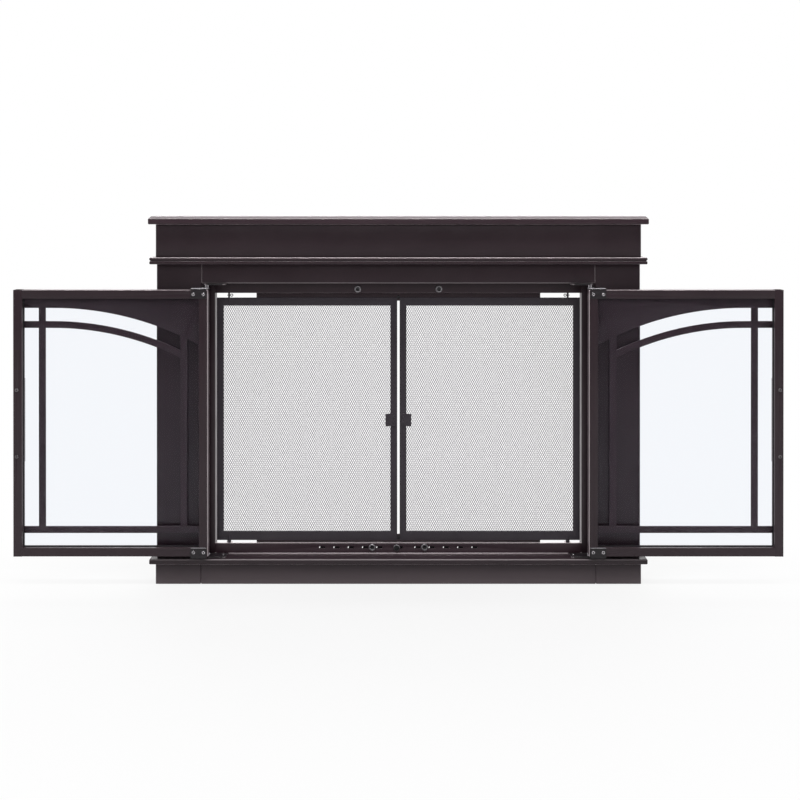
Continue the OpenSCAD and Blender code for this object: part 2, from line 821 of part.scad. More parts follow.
module lintel_clamps() {
    color(coat) for (s = [LEFT, RIGHT]) {
        x0 = s * clamp_x - anchor_w / 2;
        x1 = s * clamp_x + anchor_w / 2;
        difference() {
            union() {
                block([x0, -inner_d + sheet, clamp_z],
                    [x1, -inner_d + sheet + anchor_t, clamp_z + clamp_leg]);
                block([x0, -inner_d + sheet, clamp_z], [x1, clamp_reach, clamp_z + anchor_t]);
                block([x0, finger_y, clamp_z], [x1, clamp_reach, clamp_z + clamp_finger]);
            }
            translate([s * clamp_x, clamp_reach + cut, clamp_screw_z]) rotate([90, 0, 0])
                cylinder(h = anchor_t + 2 * cut, d = clamp_screw_d + 2 * pin_play);
        }
    }
}

module clamp_screws() {
    color(steel) for (s = [LEFT, RIGHT]) {
        translate([s * clamp_x, clamp_reach + clamp_head_t + clamp_head_gap, clamp_screw_z])
            rotate([90, 0, 0]) {
                cylinder(h = clamp_head_t, d = clamp_head_d, $fn = 6);
                cylinder(h = clamp_screw_l, d = clamp_screw_d);
                translate([0, 0, clamp_screw_l]) cylinder(h = pad_t, d = pad_d);
            }
    }
}

module floor_brackets() {
    color(coat) for (s = [LEFT, RIGHT]) {
        x0 = s * floor_x - anchor_w / 2;
        x1 = s * floor_x + anchor_w / 2;
        difference() {
            union() {
                block([x0, plinth_back, 0], [x1, plinth_back + foot_l, anchor_t]);
                block([x0, plinth_back, 0], [x1, plinth_back + anchor_t, foot_h]);
            }
            translate([s * floor_x, plinth_back + anchor_hole_in, -cut])
                cylinder(h = anchor_t + 2 * cut, d = anchor_hole_d);
        }
    }
}

// ---------------------------------------------------------------- draft shutter

module shutter_guide() {
    low = shutter_z - shutter_play;
    color(coat) difference() {
        block([-shutter_half, -inner_d + sheet, low - sheet],
            [shutter_half, guide_y + sheet, low + slot_h / 2]);
        block([-shutter_half - cut, -inner_d + sheet - cut, low],
            [shutter_half + cut, guide_y, low + slot_h]);
    }
}

module shutter_plate() {
    half = shutter_half - slot_first / 2;
    color(coat) along_y(shutter_y, shutter_y + shutter_t) difference() {
        translate([-half, shutter_z]) square([2 * half, shutter_h]);
        for (x = slot_xs) {
            round_slot(x - open_travel - slot_l / 2, x - open_travel + slot_l / 2,
                slot_mid_z, slot_h / 2);
        }
    }
}

module shutter_knob() {
    color(magnet_grey) translate([knob_x, shutter_y, slot_mid_z]) rotate([90, 0, 0]) {
        cylinder(h = shutter_y + inner_d + shutter_play, d = stem_d);
        translate([0, 0, shutter_y + inner_d + shutter_play]) rotate_extrude()
            soft_square([0, 0], [knob_d / 2, knob_h], knob_round, [0, 0, 1, 0]);
    }
}

// ---------------------------------------------------------------- glass doors

// Draws right-hand door pieces in door coordinates: x is the distance u from the hinge
// edge, y the distance v from the outer face, and z the real height
module on_door(side) {
    handed(side) translate([hinge_edge_x, outer_face_y, 0]) mirror([0, 1, 0]) children();
}

// The channel of the door frame, drawn as [across from its outer edge, v from the outer face]
module channel() {
    slot = glass_t + 2 * gasket_t;
    difference() {
        soft_square([0, 0], [stile_w, door_t], fold_r / 2, [1, 0, 0, 1]);
        translate([channel_wall, channel_wall])
            square([stile_w - 2 * channel_wall, door_t - 2 * channel_wall]);
        translate([stile_w - channel_wall - cut, (door_t - slot) / 2])
            square([channel_wall + 2 * cut, slot]);
    }
}

module hinge_screw_holes() {
    for (u = [plate_u, plate_u + plate_screws], z = hinge_screw_z) {
        translate([u, door_t + cut, z]) rotate([90, 0, 0])
            cylinder(h = channel_wall + 2 * cut, d = shank_d + shank_play);
    }
}

module door_hinge_stile(side) {
    color(coat) on_door(side) difference() {
        along_z(door_z, door_top) channel();
        hinge_screw_holes();
    }
}

module door_free_stile(side) {
    color(coat) on_door(side) difference() {
        translate([door_w, 0, 0]) mirror([1, 0, 0]) along_z(door_z, door_top) channel();
        for (z = handle_screw_z) {
            translate([door_w - handle_in, door_t + cut, z]) rotate([90, 0, 0])
                cylinder(h = door_t + 2 * cut, d = shank_d + shank_play);
        }
    }
}

// A rail between the stiles, with its outer edge at z and its slot facing up or down
module door_rail(z, up) {
    translate([stile_w, 0, z]) mirror([0, 0, up ? 0 : 1]) rotate([0, 90, 0]) mirror([1, 0, 0])
        linear_extrude(door_w - 2 * stile_w) channel();
}

module door_top_rail(side) {
    color(coat) on_door(side) difference() {
        door_rail(door_top, false);
        hinge_screw_holes();
    }
}

module door_bottom_rail(side) {
    color(coat) on_door(side) difference() {
        door_rail(door_z, true);
        hinge_screw_holes();
    }
}

// A box with its sides inset by this much from the door's outline
module inset_box(inset, v0, v1) {
    block([inset, v0, door_z + inset], [door_w - inset, v1, door_top - inset]);
}

module door_glass(side) {
    color(glass_tint) on_door(side)
        inset_box(stile_w - glass_grip, glass_v, glass_v + glass_t);
}

module door_gasket(side) {
    inset = stile_w - glass_grip;
    color(gasket_grey) on_door(side) difference() {
        inset_box(inset, glass_v - gasket_t, glass_v + glass_t + gasket_t);
        inset_box(inset - cut, glass_v, glass_v + glass_t);
        inset_box(stile_w + gasket_lip, glass_v - gasket_t - cut, glass_v + glass_t + gasket_t + cut);
    }
}

// Everything below an arc of radius r over the hinge half, and below its level crown
module under_arch(r) {
    intersection() {
        translate([arch_u, arch_z]) circle(r, $fn = 360);
        translate([0, door_z]) square([arch_u, door_h]);
    }
    translate([arch_u - cut, door_z]) square([door_w - arch_u + cut, arch_z + r - door_z]);
}

// Spandrel, arched band and muntins in one plate, drawn as [u, z]
module overlay_outline() {
    inner_r = arch_r - band_gap - muntin_w;
    u0 = upright_hinge;
    u1 = door_w - upright_free - muntin_w;
    low = door_z + lower_muntin;
    difference() {
        translate([stile_w, door_z + stile_w])
            square([door_w - 2 * stile_w, door_h - 2 * stile_w]);
        difference() {
            under_arch(arch_r);
            translate([u0, low]) square([muntin_w, door_h]);
            translate([u1, low]) square([muntin_w, door_h]);
            translate([0, low]) square([door_w, muntin_w]);
            difference() {
                intersection() {
                    under_arch(arch_r - band_gap);
                    translate([u0, door_z]) square([door_w, door_h]);
                }
                under_arch(inner_r);
            }
        }
    }
}

module door_overlay(side) {
    seat = glass_v - gasket_t;
    color(coat) on_door(side)
        translate([0, seat, 0]) rotate([90, 0, 0]) linear_extrude(overlay_t) overlay_outline();
}

// An angle plate with its leaf on the inner face and its flange from z0 to z1
module hinge_plate(z0, z1, leaf_z0, leaf_z1) {
    difference() {
        union() {
            block([plate_in, door_t, leaf_z0], [plate_in + plate_w, door_t + leaf_t, leaf_z1]);
            block([plate_in, nose_r - pivot_out, z0], [plate_in + plate_w, door_t + leaf_t, z1]);
            along_z(z0, z1) {
                translate([pivot_in, -pivot_out]) circle(nose_r);
                translate([pivot_in, -pivot_out])
                    square([nose_r * 2, nose_r * 2]);
                translate([pivot_in - nose_r, -pivot_out])
                    square([nose_r * 2, nose_r * 2]);
            }
        }
        translate([pivot_in, -pivot_out, z0 - cut])
            cylinder(h = z1 - z0 + 2 * cut, d = pin_d + 2 * pin_play);
        for (u = [plate_u, plate_u + plate_screws], z = hinge_screw_z) {
            translate([u, door_t + leaf_t + cut, z]) rotate([90, 0, 0])
                cylinder(h = leaf_t + 2 * cut, d = shank_d + shank_play);
        }
    }
}

module door_hinge_plates(side) {
    color(coat) on_door(side) {
        hinge_plate(door_top, door_top + top_flange, door_top - stile_w, door_top + top_flange);
        hinge_plate(door_z - bottom_flange, door_z, door_z - bottom_flange, door_z + stile_w);
    }
}

module door_hinge_screws(side) {
    color(steel) on_door(side) {
        for (u = [plate_u, plate_u + plate_screws], z = hinge_screw_z) {
            translate([u, door_t + leaf_t, z]) rotate([-90, 0, 0])
                pan_screw(screw_head_d, screw_head_h, shank_d, leaf_t + channel_wall + screw_past);
        }
    }
}

module door_handle(side) {
    u = door_w - handle_in;
    mid = door_z + handle_z;
    color(coat) on_door(side) difference() {
        union() {
            for (z = handle_screw_z) {
                translate([u, 0, z]) rotate([90, 0, 0]) cylinder(h = grip_out, d = post_d);
            }
            translate([u, -grip_out, mid - grip_l / 2]) rotate_extrude()
                soft_square([0, 0], [grip_d / 2, grip_l], grip_round, [0, 1, 1, 0]);
        }
        for (z = handle_screw_z) {
            translate([u, cut, z]) rotate([90, 0, 0])
                cylinder(h = handle_screw_in + 2 * cut, d = shank_d + shank_play);
        }
    }
}

module door_handle_screws(side) {
    color(steel) on_door(side) for (z = handle_screw_z) {
        translate([door_w - handle_in, door_t, z]) rotate([-90, 0, 0])
            pan_screw(handle_head_d, handle_head_h, shank_d, door_t + handle_screw_in);
    }
}

// ---------------------------------------------------------------- screens

module screen_frame(side) {
    color(coat) handed(side) difference() {
        union() {
            block([screen_inner, screen_front, screen_z], [screen_outer, screen_rear, screen_top]);
            translate([screen_pivot_x, screen_y, screen_z - screen_foot_gap - 2 * sheet])
                cylinder(h = screen_foot_gap + 2 * sheet + screen_bottom_bar / 2, d = screen_pin_d);
            translate([screen_pivot_x, screen_y, screen_top - screen_top_bar / 2])
                cylinder(h = screen_head_gap + 2 * sheet + screen_top_bar / 2, d = screen_pin_d);
        }
        block([screen_inner + screen_stile, screen_front - cut, screen_z + screen_bottom_bar],
            [screen_outer - screen_stile, screen_rear + cut, screen_top - screen_top_bar]);
        block([screen_inner + screen_stile - mesh_grip, screen_rear - mesh_t,
                screen_z + screen_bottom_bar - mesh_grip],
            [screen_outer - screen_stile + mesh_grip, screen_rear + cut,
                screen_top - screen_top_bar + mesh_grip]);
        translate([screen_pivot_x - screen_pin_d, screen_y, split_z]) rotate([0, 90, 0])
            cylinder(h = 2 * screen_pin_d, d = split_d + shank_play);
    }
}

// A pin with a round eye, through the upper pin of a screen, above the frame
module screen_split_pin(side) {
    back = screen_pin_d / 2 + split_gap + split_d / 2;
    eye = screen_pin_d / 2 + split_gap + split_eye_d / 2;
    color(steel) handed(side) translate([screen_pivot_x, screen_y, split_z]) {
        translate([-back, 0, 0]) rotate([0, 90, 0])
            cylinder(h = back + screen_pin_d / 2 + split_past, d = split_d);
        translate([-eye, 0, 0]) rotate([90, 0, 0]) rotate_extrude()
            translate([(split_eye_d - split_d) / 2, 0]) circle(d = split_d);
    }
}

// A lattice of whole diamonds across and up, with half diamonds along its rim
module screen_mesh(side) {
    x0 = screen_inner + screen_stile - mesh_grip;
    x1 = screen_outer - screen_stile + mesh_grip;
    z0 = screen_z + screen_bottom_bar - mesh_grip;
    z1 = screen_top - screen_top_bar + mesh_grip;
    columns = round((x1 - x0) / diamond_w);
    rows = round((z1 - z0) / diamond_h);
    pitch_x = (x1 - x0) / columns;
    pitch_z = (z1 - z0) / rows;
    gap_w = pitch_x - 2 * strand_w;
    gap_h = gap_w * pitch_z / pitch_x;
    color(coat) handed(side) along_y(screen_rear - mesh_t, screen_rear) difference() {
        translate([x0, z0]) square([x1 - x0, z1 - z0]);
        intersection() {
            translate([x0 + strand_w, z0 + strand_w])
                square([x1 - x0 - 2 * strand_w, z1 - z0 - 2 * strand_w]);
            for (j = [0:2 * rows], i = [0:columns - j % 2]) {
                translate([x0 + (i + (j % 2) / 2) * pitch_x, z0 + j * pitch_z / 2])
                    polygon([[-gap_w / 2, 0], [0, -gap_h / 2], [gap_w / 2, 0], [0, gap_h / 2]]);
            }
        }
    }
}

// Flat where it is riveted, then folded out to a finger lip; drawn as [x, y]
module pull_outline() {
    x0 = screen_inner + pull_in;
    x1 = x0 + pull_l;
    fold_x = x0 + pull_flat;
    lip_x = x1 - pull_lip;
    lip_y = screen_front - pull_out;
    polygon([
        [x0, screen_front], [fold_x, screen_front], [lip_x, lip_y + pull_t],
        [x1, lip_y + pull_t], [x1, lip_y], [lip_x - pull_t / 2, lip_y],
        [fold_x - pull_t / 2, screen_front - pull_t], [x0, screen_front - pull_t]
    ]);
}

module screen_pull(side) {
    color(coat) handed(side) difference() {
        along_z(pull_low, pull_low + pull_h) pull_outline();
        for (z = pull_rivet_z) {
            translate([pull_rivet_x, screen_front + cut, z]) rotate([90, 0, 0])
                cylinder(h = pull_t + 2 * cut, d = rivet_shank_d + shank_play);
        }
    }
}

module screen_rivets(side) {
    color(steel) handed(side) for (z = pull_rivet_z) {
        translate([pull_rivet_x, screen_front - pull_t, z]) rotate([90, 0, 0]) rotate_extrude() {
            soft_square([0, 0], [rivet_d / 2, rivet_h], rivet_h - rivet_flank, [0, 0, 1, 0]);
            translate([0, -pull_t]) square([rivet_shank_d / 2, pull_t + rivet_flank]);
        }
    }
}

// ---------------------------------------------------------------- assembly

mantel_cap();
frieze_panel();
mid_molding();
header_panel();
column(LEFT);  // left_column
column(RIGHT);  // right_column
base_ledge();
side_plinth(LEFT);  // left_plinth
centre_plinth();
side_plinth(RIGHT);  // right_plinth
inner_top_rail();
inner_bottom_rail();
jamb(LEFT);  // left_jamb
jamb(RIGHT);  // right_jamb
top_stop_strip();
bottom_stop_strip();
magnet_catches();
hinge_brackets(LEFT);  // left_hinge_brackets
hinge_brackets(RIGHT);  // right_hinge_brackets
hinge_pins();
bracket_screws();
screen_bushings();
lintel_clamps();
clamp_screws();
floor_brackets();
shutter_guide();
shutter_plate();
shutter_knob();
door_free_stile(LEFT);  // left_door_free_stile
door_hinge_stile(LEFT);  // left_door_hinge_stile
door_top_rail(LEFT);  // left_door_top_rail
door_bottom_rail(LEFT);  // left_door_bottom_rail
door_glass(LEFT);  // left_door_glass
door_gasket(LEFT);  // left_door_gasket
door_overlay(LEFT);  // left_door_overlay
door_handle(LEFT);  // left_door_handle
door_handle_screws(LEFT);  // left_door_handle_screws
door_hinge_plates(LEFT);  // left_door_hinge_plates
door_hinge_screws(LEFT);  // left_door_hinge_screws
door_free_stile(RIGHT);  // right_door_free_stile
door_hinge_stile(RIGHT);  // right_door_hinge_stile
door_top_rail(RIGHT);  // right_door_top_rail
door_bottom_rail(RIGHT);  // right_door_bottom_rail
door_glass(RIGHT);  // right_door_glass
door_gasket(RIGHT);  // right_door_gasket
door_overlay(RIGHT);  // right_door_overlay
door_handle(RIGHT);  // right_door_handle
door_handle_screws(RIGHT);  // right_door_handle_screws
door_hinge_plates(RIGHT);  // right_door_hinge_plates
door_hinge_screws(RIGHT);  // right_door_hinge_screws
screen_frame(LEFT);  // left_screen_frame
screen_mesh(LEFT);  // left_screen_mesh
screen_pull(LEFT);  // left_screen_pull
screen_rivets(LEFT);  // left_screen_rivets
screen_split_pin(LEFT);  // left_screen_split_pin
screen_frame(RIGHT);  // right_screen_frame
screen_mesh(RIGHT);  // right_screen_mesh
screen_pull(RIGHT);  // right_screen_pull
screen_rivets(RIGHT);  // right_screen_rivets
screen_split_pin(RIGHT);  // right_screen_split_pin
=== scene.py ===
import json
import math

import bmesh
import bpy
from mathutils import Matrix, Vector

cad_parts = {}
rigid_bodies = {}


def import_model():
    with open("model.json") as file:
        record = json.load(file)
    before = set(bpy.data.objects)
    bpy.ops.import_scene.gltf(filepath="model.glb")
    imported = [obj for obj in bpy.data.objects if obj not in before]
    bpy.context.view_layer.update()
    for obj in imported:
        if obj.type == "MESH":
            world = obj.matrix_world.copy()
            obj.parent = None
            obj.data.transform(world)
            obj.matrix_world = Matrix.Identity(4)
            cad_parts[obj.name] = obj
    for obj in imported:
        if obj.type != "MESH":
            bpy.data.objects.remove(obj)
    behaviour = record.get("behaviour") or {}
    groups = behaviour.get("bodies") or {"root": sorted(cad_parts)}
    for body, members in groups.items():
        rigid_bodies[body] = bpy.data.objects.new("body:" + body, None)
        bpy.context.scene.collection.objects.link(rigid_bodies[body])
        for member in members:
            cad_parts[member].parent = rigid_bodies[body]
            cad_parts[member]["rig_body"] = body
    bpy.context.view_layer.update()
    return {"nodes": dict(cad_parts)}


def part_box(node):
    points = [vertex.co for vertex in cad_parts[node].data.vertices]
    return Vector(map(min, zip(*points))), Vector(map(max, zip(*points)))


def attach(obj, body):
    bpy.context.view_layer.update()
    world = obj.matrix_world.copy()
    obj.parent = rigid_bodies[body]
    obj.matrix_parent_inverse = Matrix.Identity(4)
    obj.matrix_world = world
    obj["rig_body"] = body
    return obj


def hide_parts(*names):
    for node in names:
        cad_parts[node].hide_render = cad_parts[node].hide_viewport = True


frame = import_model()
NODES = frame["nodes"]
MM = 0.001

# ---------------------------------------------------------------- material helpers


# Where a Mix node that is set to colour has its two inputs and its output
MIX_INPUTS = (6, 7)
MIX_OUTPUT = 2


class Shader:
    """A node material with a Principled shader, and short ways to add texture nodes to it."""

    def __init__(self, name, **sockets):
        self.material = bpy.data.materials.new(name)
        self.material.use_nodes = True
        self.tree = self.material.node_tree
        self.bsdf = self.tree.nodes["Principled BSDF"]
        self.output = self.tree.nodes["Material Output"]
        for socket, value in sockets.items():
            self.bsdf.inputs[socket.replace("_", " ")].default_value = value
        self.place = self.tree.nodes.new("ShaderNodeTexCoord").outputs["Object"]

    def link(self, source, target):
        self.tree.links.new(source, target)

    def stretched(self, scale, shift=(0.0, 0.0, 0.0)):
        """The object's coordinates, scaled by this much along X, Y and Z and then shifted."""
        mapping = self.tree.nodes.new("ShaderNodeMapping")
        mapping.inputs["Scale"].default_value = scale
        mapping.inputs["Location"].default_value = shift
        self.link(self.place, mapping.inputs["Vector"])
        return mapping.outputs["Vector"]

    def noise(self, scale, detail=2.0, roughness=0.5, place=None):
        node = self.tree.nodes.new("ShaderNodeTexNoise")
        node.inputs["Scale"].default_value = scale
        node.inputs["Detail"].default_value = detail
        node.inputs["Roughness"].default_value = roughness
        self.link(place or self.place, node.inputs["Vector"])
        return node.outputs["Fac"]

    def levels(self, value, low, high, to_low=0.0, to_high=1.0):
        node = self.tree.nodes.new("ShaderNodeMapRange")
        node.inputs["From Min"].default_value = low
        node.inputs["From Max"].default_value = high
        node.inputs["To Min"].default_value = to_low
        node.inputs["To Max"].default_value = to_high
        self.link(value, node.inputs["Value"])
        return node.outputs["Result"]

    def mixed(self, factor, first, second):
        """A colour between two others, each a plain colour or the output of another mix."""
        node = self.tree.nodes.new("ShaderNodeMix")
        node.data_type = "RGBA"
        self.link(factor, node.inputs["Factor"])
        for index, colour in zip(MIX_INPUTS, (first, second)):
            if isinstance(colour, tuple):
                node.inputs[index].default_value = (*colour, 1.0)
            else:
                self.link(colour, node.inputs[index])
        return node.outputs[MIX_OUTPUT]

    def bump(self, height, strength, distance, normal=None):
        node = self.tree.nodes.new("ShaderNodeBump")
        node.inputs["Strength"].default_value = strength
        node.inputs["Distance"].default_value = distance
        self.link(height, node.inputs["Height"])
        if normal is not None:
            self.link(normal, node.inputs["Normal"])
        return node.outputs["Normal"]

    def set(self, socket, source):
        self.link(source, self.bsdf.inputs[socket])


def combined(tree, operation, first, second):
    """The result of a Math node on two values."""
    node = tree.nodes.new("ShaderNodeMath")
    node.operation = operation
    tree.links.new(first, node.inputs[0])
    tree.links.new(second, node.inputs[1])
    return node.outputs[0]


def smooth_step(tree, value, low, high, to_low=0.0, to_high=1.0):
    """A value that goes smoothly from to_low to to_high while another goes from low to high."""
    node = tree.nodes.new("ShaderNodeMapRange")
    node.interpolation_type = "SMOOTHSTEP"
    for socket, number in (("From Min", low), ("From Max", high), ("To Min", to_low), ("To Max", to_high)):
        node.inputs[socket].default_value = number
    tree.links.new(value, node.inputs["Value"])
    return node.outputs["Result"]


def mixed_shaders(tree, factor, first, second, output):
    """Links a mix of two shaders to a socket; the second shows where the factor is 1."""
    node = tree.nodes.new("ShaderNodeMixShader")
    for index, source in enumerate((factor, first, second)):
        tree.links.new(source, node.inputs[index])
    tree.links.new(node.outputs[0], output)


def seen_rays(tree, kinds):
    """One value that is 1 for the kinds of ray named, else 0."""
    path = tree.nodes.new("ShaderNodeLightPath")
    total = path.outputs[kinds[0]]
    for kind in kinds[1:]:
        total = combined(tree, "MAXIMUM", total, path.outputs[kind])
    return total


# ---------------------------------------------------------------- materials

# How many waves of noise there are in a metre of coat
CLOUDS, SMEARS, PEEL, GRAINS = 9.0, 26.0, 420.0, 1500.0
# Where noise counts as nothing and as full, for soft patches and for sparse flecks
PATCHES = (0.3, 0.7)
FLECKS = (0.52, 0.74)
# How high the painted light bounced from the floor reaches up the coat, and where it is full
BOUNCE_PAINT_TOP = 42 * MM
BOUNCE_PAINT_FULL = 3 * MM
SHEEN_ROUGH = 0.3
SHEEN_TINT = (1.0, 0.82, 0.90, 1.0)
# The surround's coat, darkest and lightest
BRONZE_TONES = ((0.0175, 0.0090, 0.0125), (0.0235, 0.0130, 0.0172))


def coated_steel(name, dark, light, rough_low, rough_high, peel=0.06, gloss=0.35, metal=0.0, sheen=0.0,
        flecks=2.2, painted_bounce=None):
    """Powder coat: a fine orange peel with sparse flecks, slightly uneven in tone and gloss.

    peel is how deep the orange peel is, flecks how much brighter the flecks are than the light tone, and
    painted_bounce the colour that the coat fades to towards the floor, a painted light bounced up from it.
    """
    shader = Shader(name, Metallic=metal, Specular_IOR_Level=gloss, Sheen_Weight=sheen,
        Sheen_Roughness=SHEEN_ROUGH, Sheen_Tint=SHEEN_TINT)
    tone = shader.mixed(shader.levels(shader.noise(CLOUDS, 3.0), *PATCHES), dark, light)
    fleck = tuple(min(1.0, c * flecks) for c in light)
    colour = shader.mixed(shader.levels(shader.noise(GRAINS, 1.0), *FLECKS), tone, fleck)
    # The coat grows lighter towards the floor: painted light bounced up from the floor
    if painted_bounce:
        split = shader.tree.nodes.new("ShaderNodeSeparateXYZ")
        shader.link(shader.place, split.inputs[0])
        colour = shader.mixed(shader.levels(split.outputs["Z"], BOUNCE_PAINT_TOP, BOUNCE_PAINT_FULL), colour, painted_bounce)
    shader.set("Base Color", colour)
    shader.set("Roughness", shader.levels(shader.noise(SMEARS, 4.0), *PATCHES, rough_low, rough_high))
    coarse = shader.bump(shader.noise(PEEL, 2.0), peel, 0.4 * MM)
    shader.set("Normal", shader.bump(shader.noise(GRAINS, 1.0), peel * 0.6, 0.1 * MM, coarse))
    return shader.material


def bronze(name, gain=1.0, painted_bounce=None):
    """The coat of the surround and the doors; gain makes lighter and darker copies of it, which are painted
    light and shade.

    Its roughness stays above 0.28, because the picture's denoising leaves dark curls where it crosses that.
    """
    dark, light = (tuple(gain * c for c in tone) for tone in BRONZE_TONES)
    return coated_steel(name, dark, light, 0.29, 0.37, sheen=0.2, painted_bounce=painted_bounce)


def painted_highlight_coat(name, dark, light, metal):
    """A pale, smooth and almost even coat: a painted highlight for edges and tops that catch the light."""
    return coated_steel(name, dark, light, 0.315, 0.325, 0.01, metal=metal, flecks=1.1)


def brushed_zinc(name, dark, light, rough):
    """Plated fasteners: a fine turned grain with darker handling marks."""
    shader = Shader(name, Metallic=1.0)
    marks = shader.levels(shader.noise(340.0, 3.0), 0.35, 0.65)
    shader.set("Base Color", shader.mixed(marks, dark, light))
    shader.set("Roughness", shader.levels(shader.noise(700.0, 2.0), *PATCHES, rough, rough + 0.15))
    grain = shader.noise(2600.0, 1.0, place=shader.stretched((1.0, 1.0, 0.15)))
    shader.set("Normal", shader.bump(grain, 0.15, 0.05 * MM))
    return shader.material


GLASS_TINT = (0.912, 0.933, 0.969)
# The kinds of ray that the glass only tints, so that the light behind it stays even
STRAIGHT = ("Is Shadow Ray", "Is Diffuse Ray", "Is Glossy Ray")


def clear_glass():
    """Clear tempered glass: smooth, with a trace of dust in the roughness; light passes it straight."""
    shader = Shader("clear_glass", IOR=1.12, Transmission_Weight=1.0, Base_Color=(*GLASS_TINT, 1.0))
    dust = shader.levels(shader.noise(30.0, 5.0), 0.45, 0.75, 0.0, 0.02)
    shader.set("Roughness", dust)
    straight = shader.tree.nodes.new("ShaderNodeBsdfTransparent")
    straight.inputs["Color"].default_value = (*(math.sqrt(c) for c in GLASS_TINT), 1.0)
    mixed_shaders(shader.tree, seen_rays(shader.tree, STRAIGHT), shader.bsdf.outputs[0],
        straight.outputs[0], shader.output.inputs["Surface"])
    return shader.material


def woven_gasket():
    """Heat-proof tape: a matt twill in near black."""
    shader = Shader("woven_gasket", Specular_IOR_Level=0.2)
    weave = shader.tree.nodes.new("ShaderNodeTexWave")
    weave.inputs["Scale"].default_value = 900.0
    weave.inputs["Distortion"].default_value = 1.5
    shader.link(shader.place, weave.inputs["Vector"])
    shader.set("Base Color", shader.mixed(weave.outputs["Fac"], (0.012, 0.012, 0.013), (0.04, 0.04, 0.042)))
    shader.set("Roughness", shader.levels(shader.noise(400.0), *PATCHES, 0.75, 0.95))
    shader.set("Normal", shader.bump(weave.outputs["Fac"], 0.4, 0.2 * MM))
    return shader.material


# Lighter copies for the cap, the door overlays and the inner bottom rail, darker ones for the ledge and the
# plinth: painted light and shade on the one coat
BRONZE = bronze("bronze_coat")
BRONZE_CAP = bronze("bronze_cap", 1.4)
BRONZE_OVERLAY = bronze("bronze_overlay", 1.25)
BRONZE_RAIL = bronze("bronze_rail", 1.5)
BRONZE_LEDGE = bronze("bronze_ledge", 0.8)
PLINTH = bronze("plinth_coat", 0.7, painted_bounce=(0.090, 0.070, 0.077))
# Pale coats for edges and tops, all painted highlights that stand in for glints of light; the dull one is a
# dimmer painted highlight
BRONZE_EDGE = painted_highlight_coat("bronze_edge", (0.57, 0.505, 0.525), (0.61, 0.545, 0.56), 0.5)
BRONZE_SOFT = painted_highlight_coat("bronze_soft_edge", (0.275, 0.24, 0.25), (0.295, 0.255, 0.265), 0.5)
BRONZE_DULL = painted_highlight_coat("bronze_dull_edge", (0.150, 0.130, 0.137), (0.160, 0.138, 0.145), 0.0)
HINGE_BLACK = coated_steel("hinge_black", (0.0085, 0.0065, 0.0080), (0.014, 0.0115, 0.0135), 0.29, 0.37,
    peel=0.05, sheen=0.1)
# Painted highlight on the hinge plates' flat tops
HINGE_TOP = painted_highlight_coat("hinge_top", (0.52, 0.51, 0.54), (0.58, 0.57, 0.60), 0.2)
# Near black for the shutter plate: painted shade behind the rail's slots
SHADE_BLACK = coated_steel("painted_shade_black", (0.003, 0.0025, 0.003), (0.008, 0.007, 0.008), 0.6, 0.8, gloss=0.15)
# Painted highlight on the hinge plates' edges that look up
HINGE_EDGE = painted_highlight_coat("hinge_edge", (0.62, 0.61, 0.62), (0.78, 0.77, 0.78), 0.3)
SCREEN_COAT = coated_steel("screen_coat", (0.020, 0.0155, 0.0205), (0.028, 0.022, 0.029), 0.34, 0.46)
WIRE_COAT = coated_steel("wire_coat", (0.052, 0.036, 0.062), (0.075, 0.053, 0.088), 0.40, 0.52)
CUP_RIM = brushed_zinc("cup_rim", (0.16, 0.15, 0.16), (0.38, 0.36, 0.38), 0.29)
# Near black for the wells of the catches and the recesses of the screws, where it is painted shade, and for
# the knob's flat faces
CUP_WELL = coated_steel("cup_well", (0.006, 0.006, 0.007), (0.014, 0.013, 0.015), 0.40, 0.60)
ZINC = brushed_zinc("bright_zinc", (0.24, 0.23, 0.24), (0.52, 0.50, 0.52), 0.12)
SCREW_BRONZE = coated_steel("screw_bronze", (0.075, 0.066, 0.070), (0.110, 0.098, 0.104), 0.29, 0.36,
    peel=0.02, metal=0.4)
PIN_STEEL = brushed_zinc("pin_steel", (0.22, 0.21, 0.22), (0.40, 0.38, 0.40), 0.12)
# Each piece's coat, the painted highlight on its bright edges and the dimmer painted highlight on its dull
# edges; on a hinge plate the third is the painted highlight on its top
TRIM = (BRONZE, BRONZE_EDGE, BRONZE_DULL)
SOFT_TRIM = (BRONZE, BRONZE_SOFT, BRONZE_DULL)
CAP_TRIM = (BRONZE_CAP, BRONZE_EDGE, BRONZE_DULL)
RAIL_TRIM = (BRONZE_RAIL, BRONZE_EDGE, BRONZE_DULL)
OVERLAY_TRIM = (BRONZE_OVERLAY, BRONZE_SOFT, BRONZE_DULL)
PLINTH_TRIM = (PLINTH, BRONZE_EDGE, BRONZE_DULL)
SCREEN_TRIM = (SCREEN_COAT, BRONZE_SOFT, BRONZE_DULL)
LEDGE_TRIM = (BRONZE_LEDGE, BRONZE_DULL, BRONZE_DULL)
HINGE_TRIM = (HINGE_BLACK, HINGE_EDGE, BRONZE_DULL)
PLATE_TRIM = (HINGE_BLACK, HINGE_EDGE, HINGE_TOP)
GLASS = clear_glass()
GASKET = woven_gasket()

# ---------------------------------------------------------------- pieces from CAD nodes


def paint(node, *materials):
    """Gives a CAD node's object these materials."""
    data = NODES[node].data
    data.materials.clear()
    for material in materials:
        data.materials.append(material)


def recoated(node, *materials):
    """A copy of a CAD node's mesh that has these materials instead."""
    mesh = NODES[node].data.copy()
    mesh.materials.clear()
    for material in materials:
        mesh.materials.append(material)
    return mesh


def body_of(node):
    return NODES[node]["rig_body"]


def face_width(face, edge):
    """How far a face reaches from one of its edges."""
    a, b = (v.co for v in edge.verts)
    along = (b - a).normalized()
    reach = 0.0
    for vertex in face.verts:
        out = vertex.co - a
        reach = max(reach, (out - along * out.dot(along)).length)
    return reach


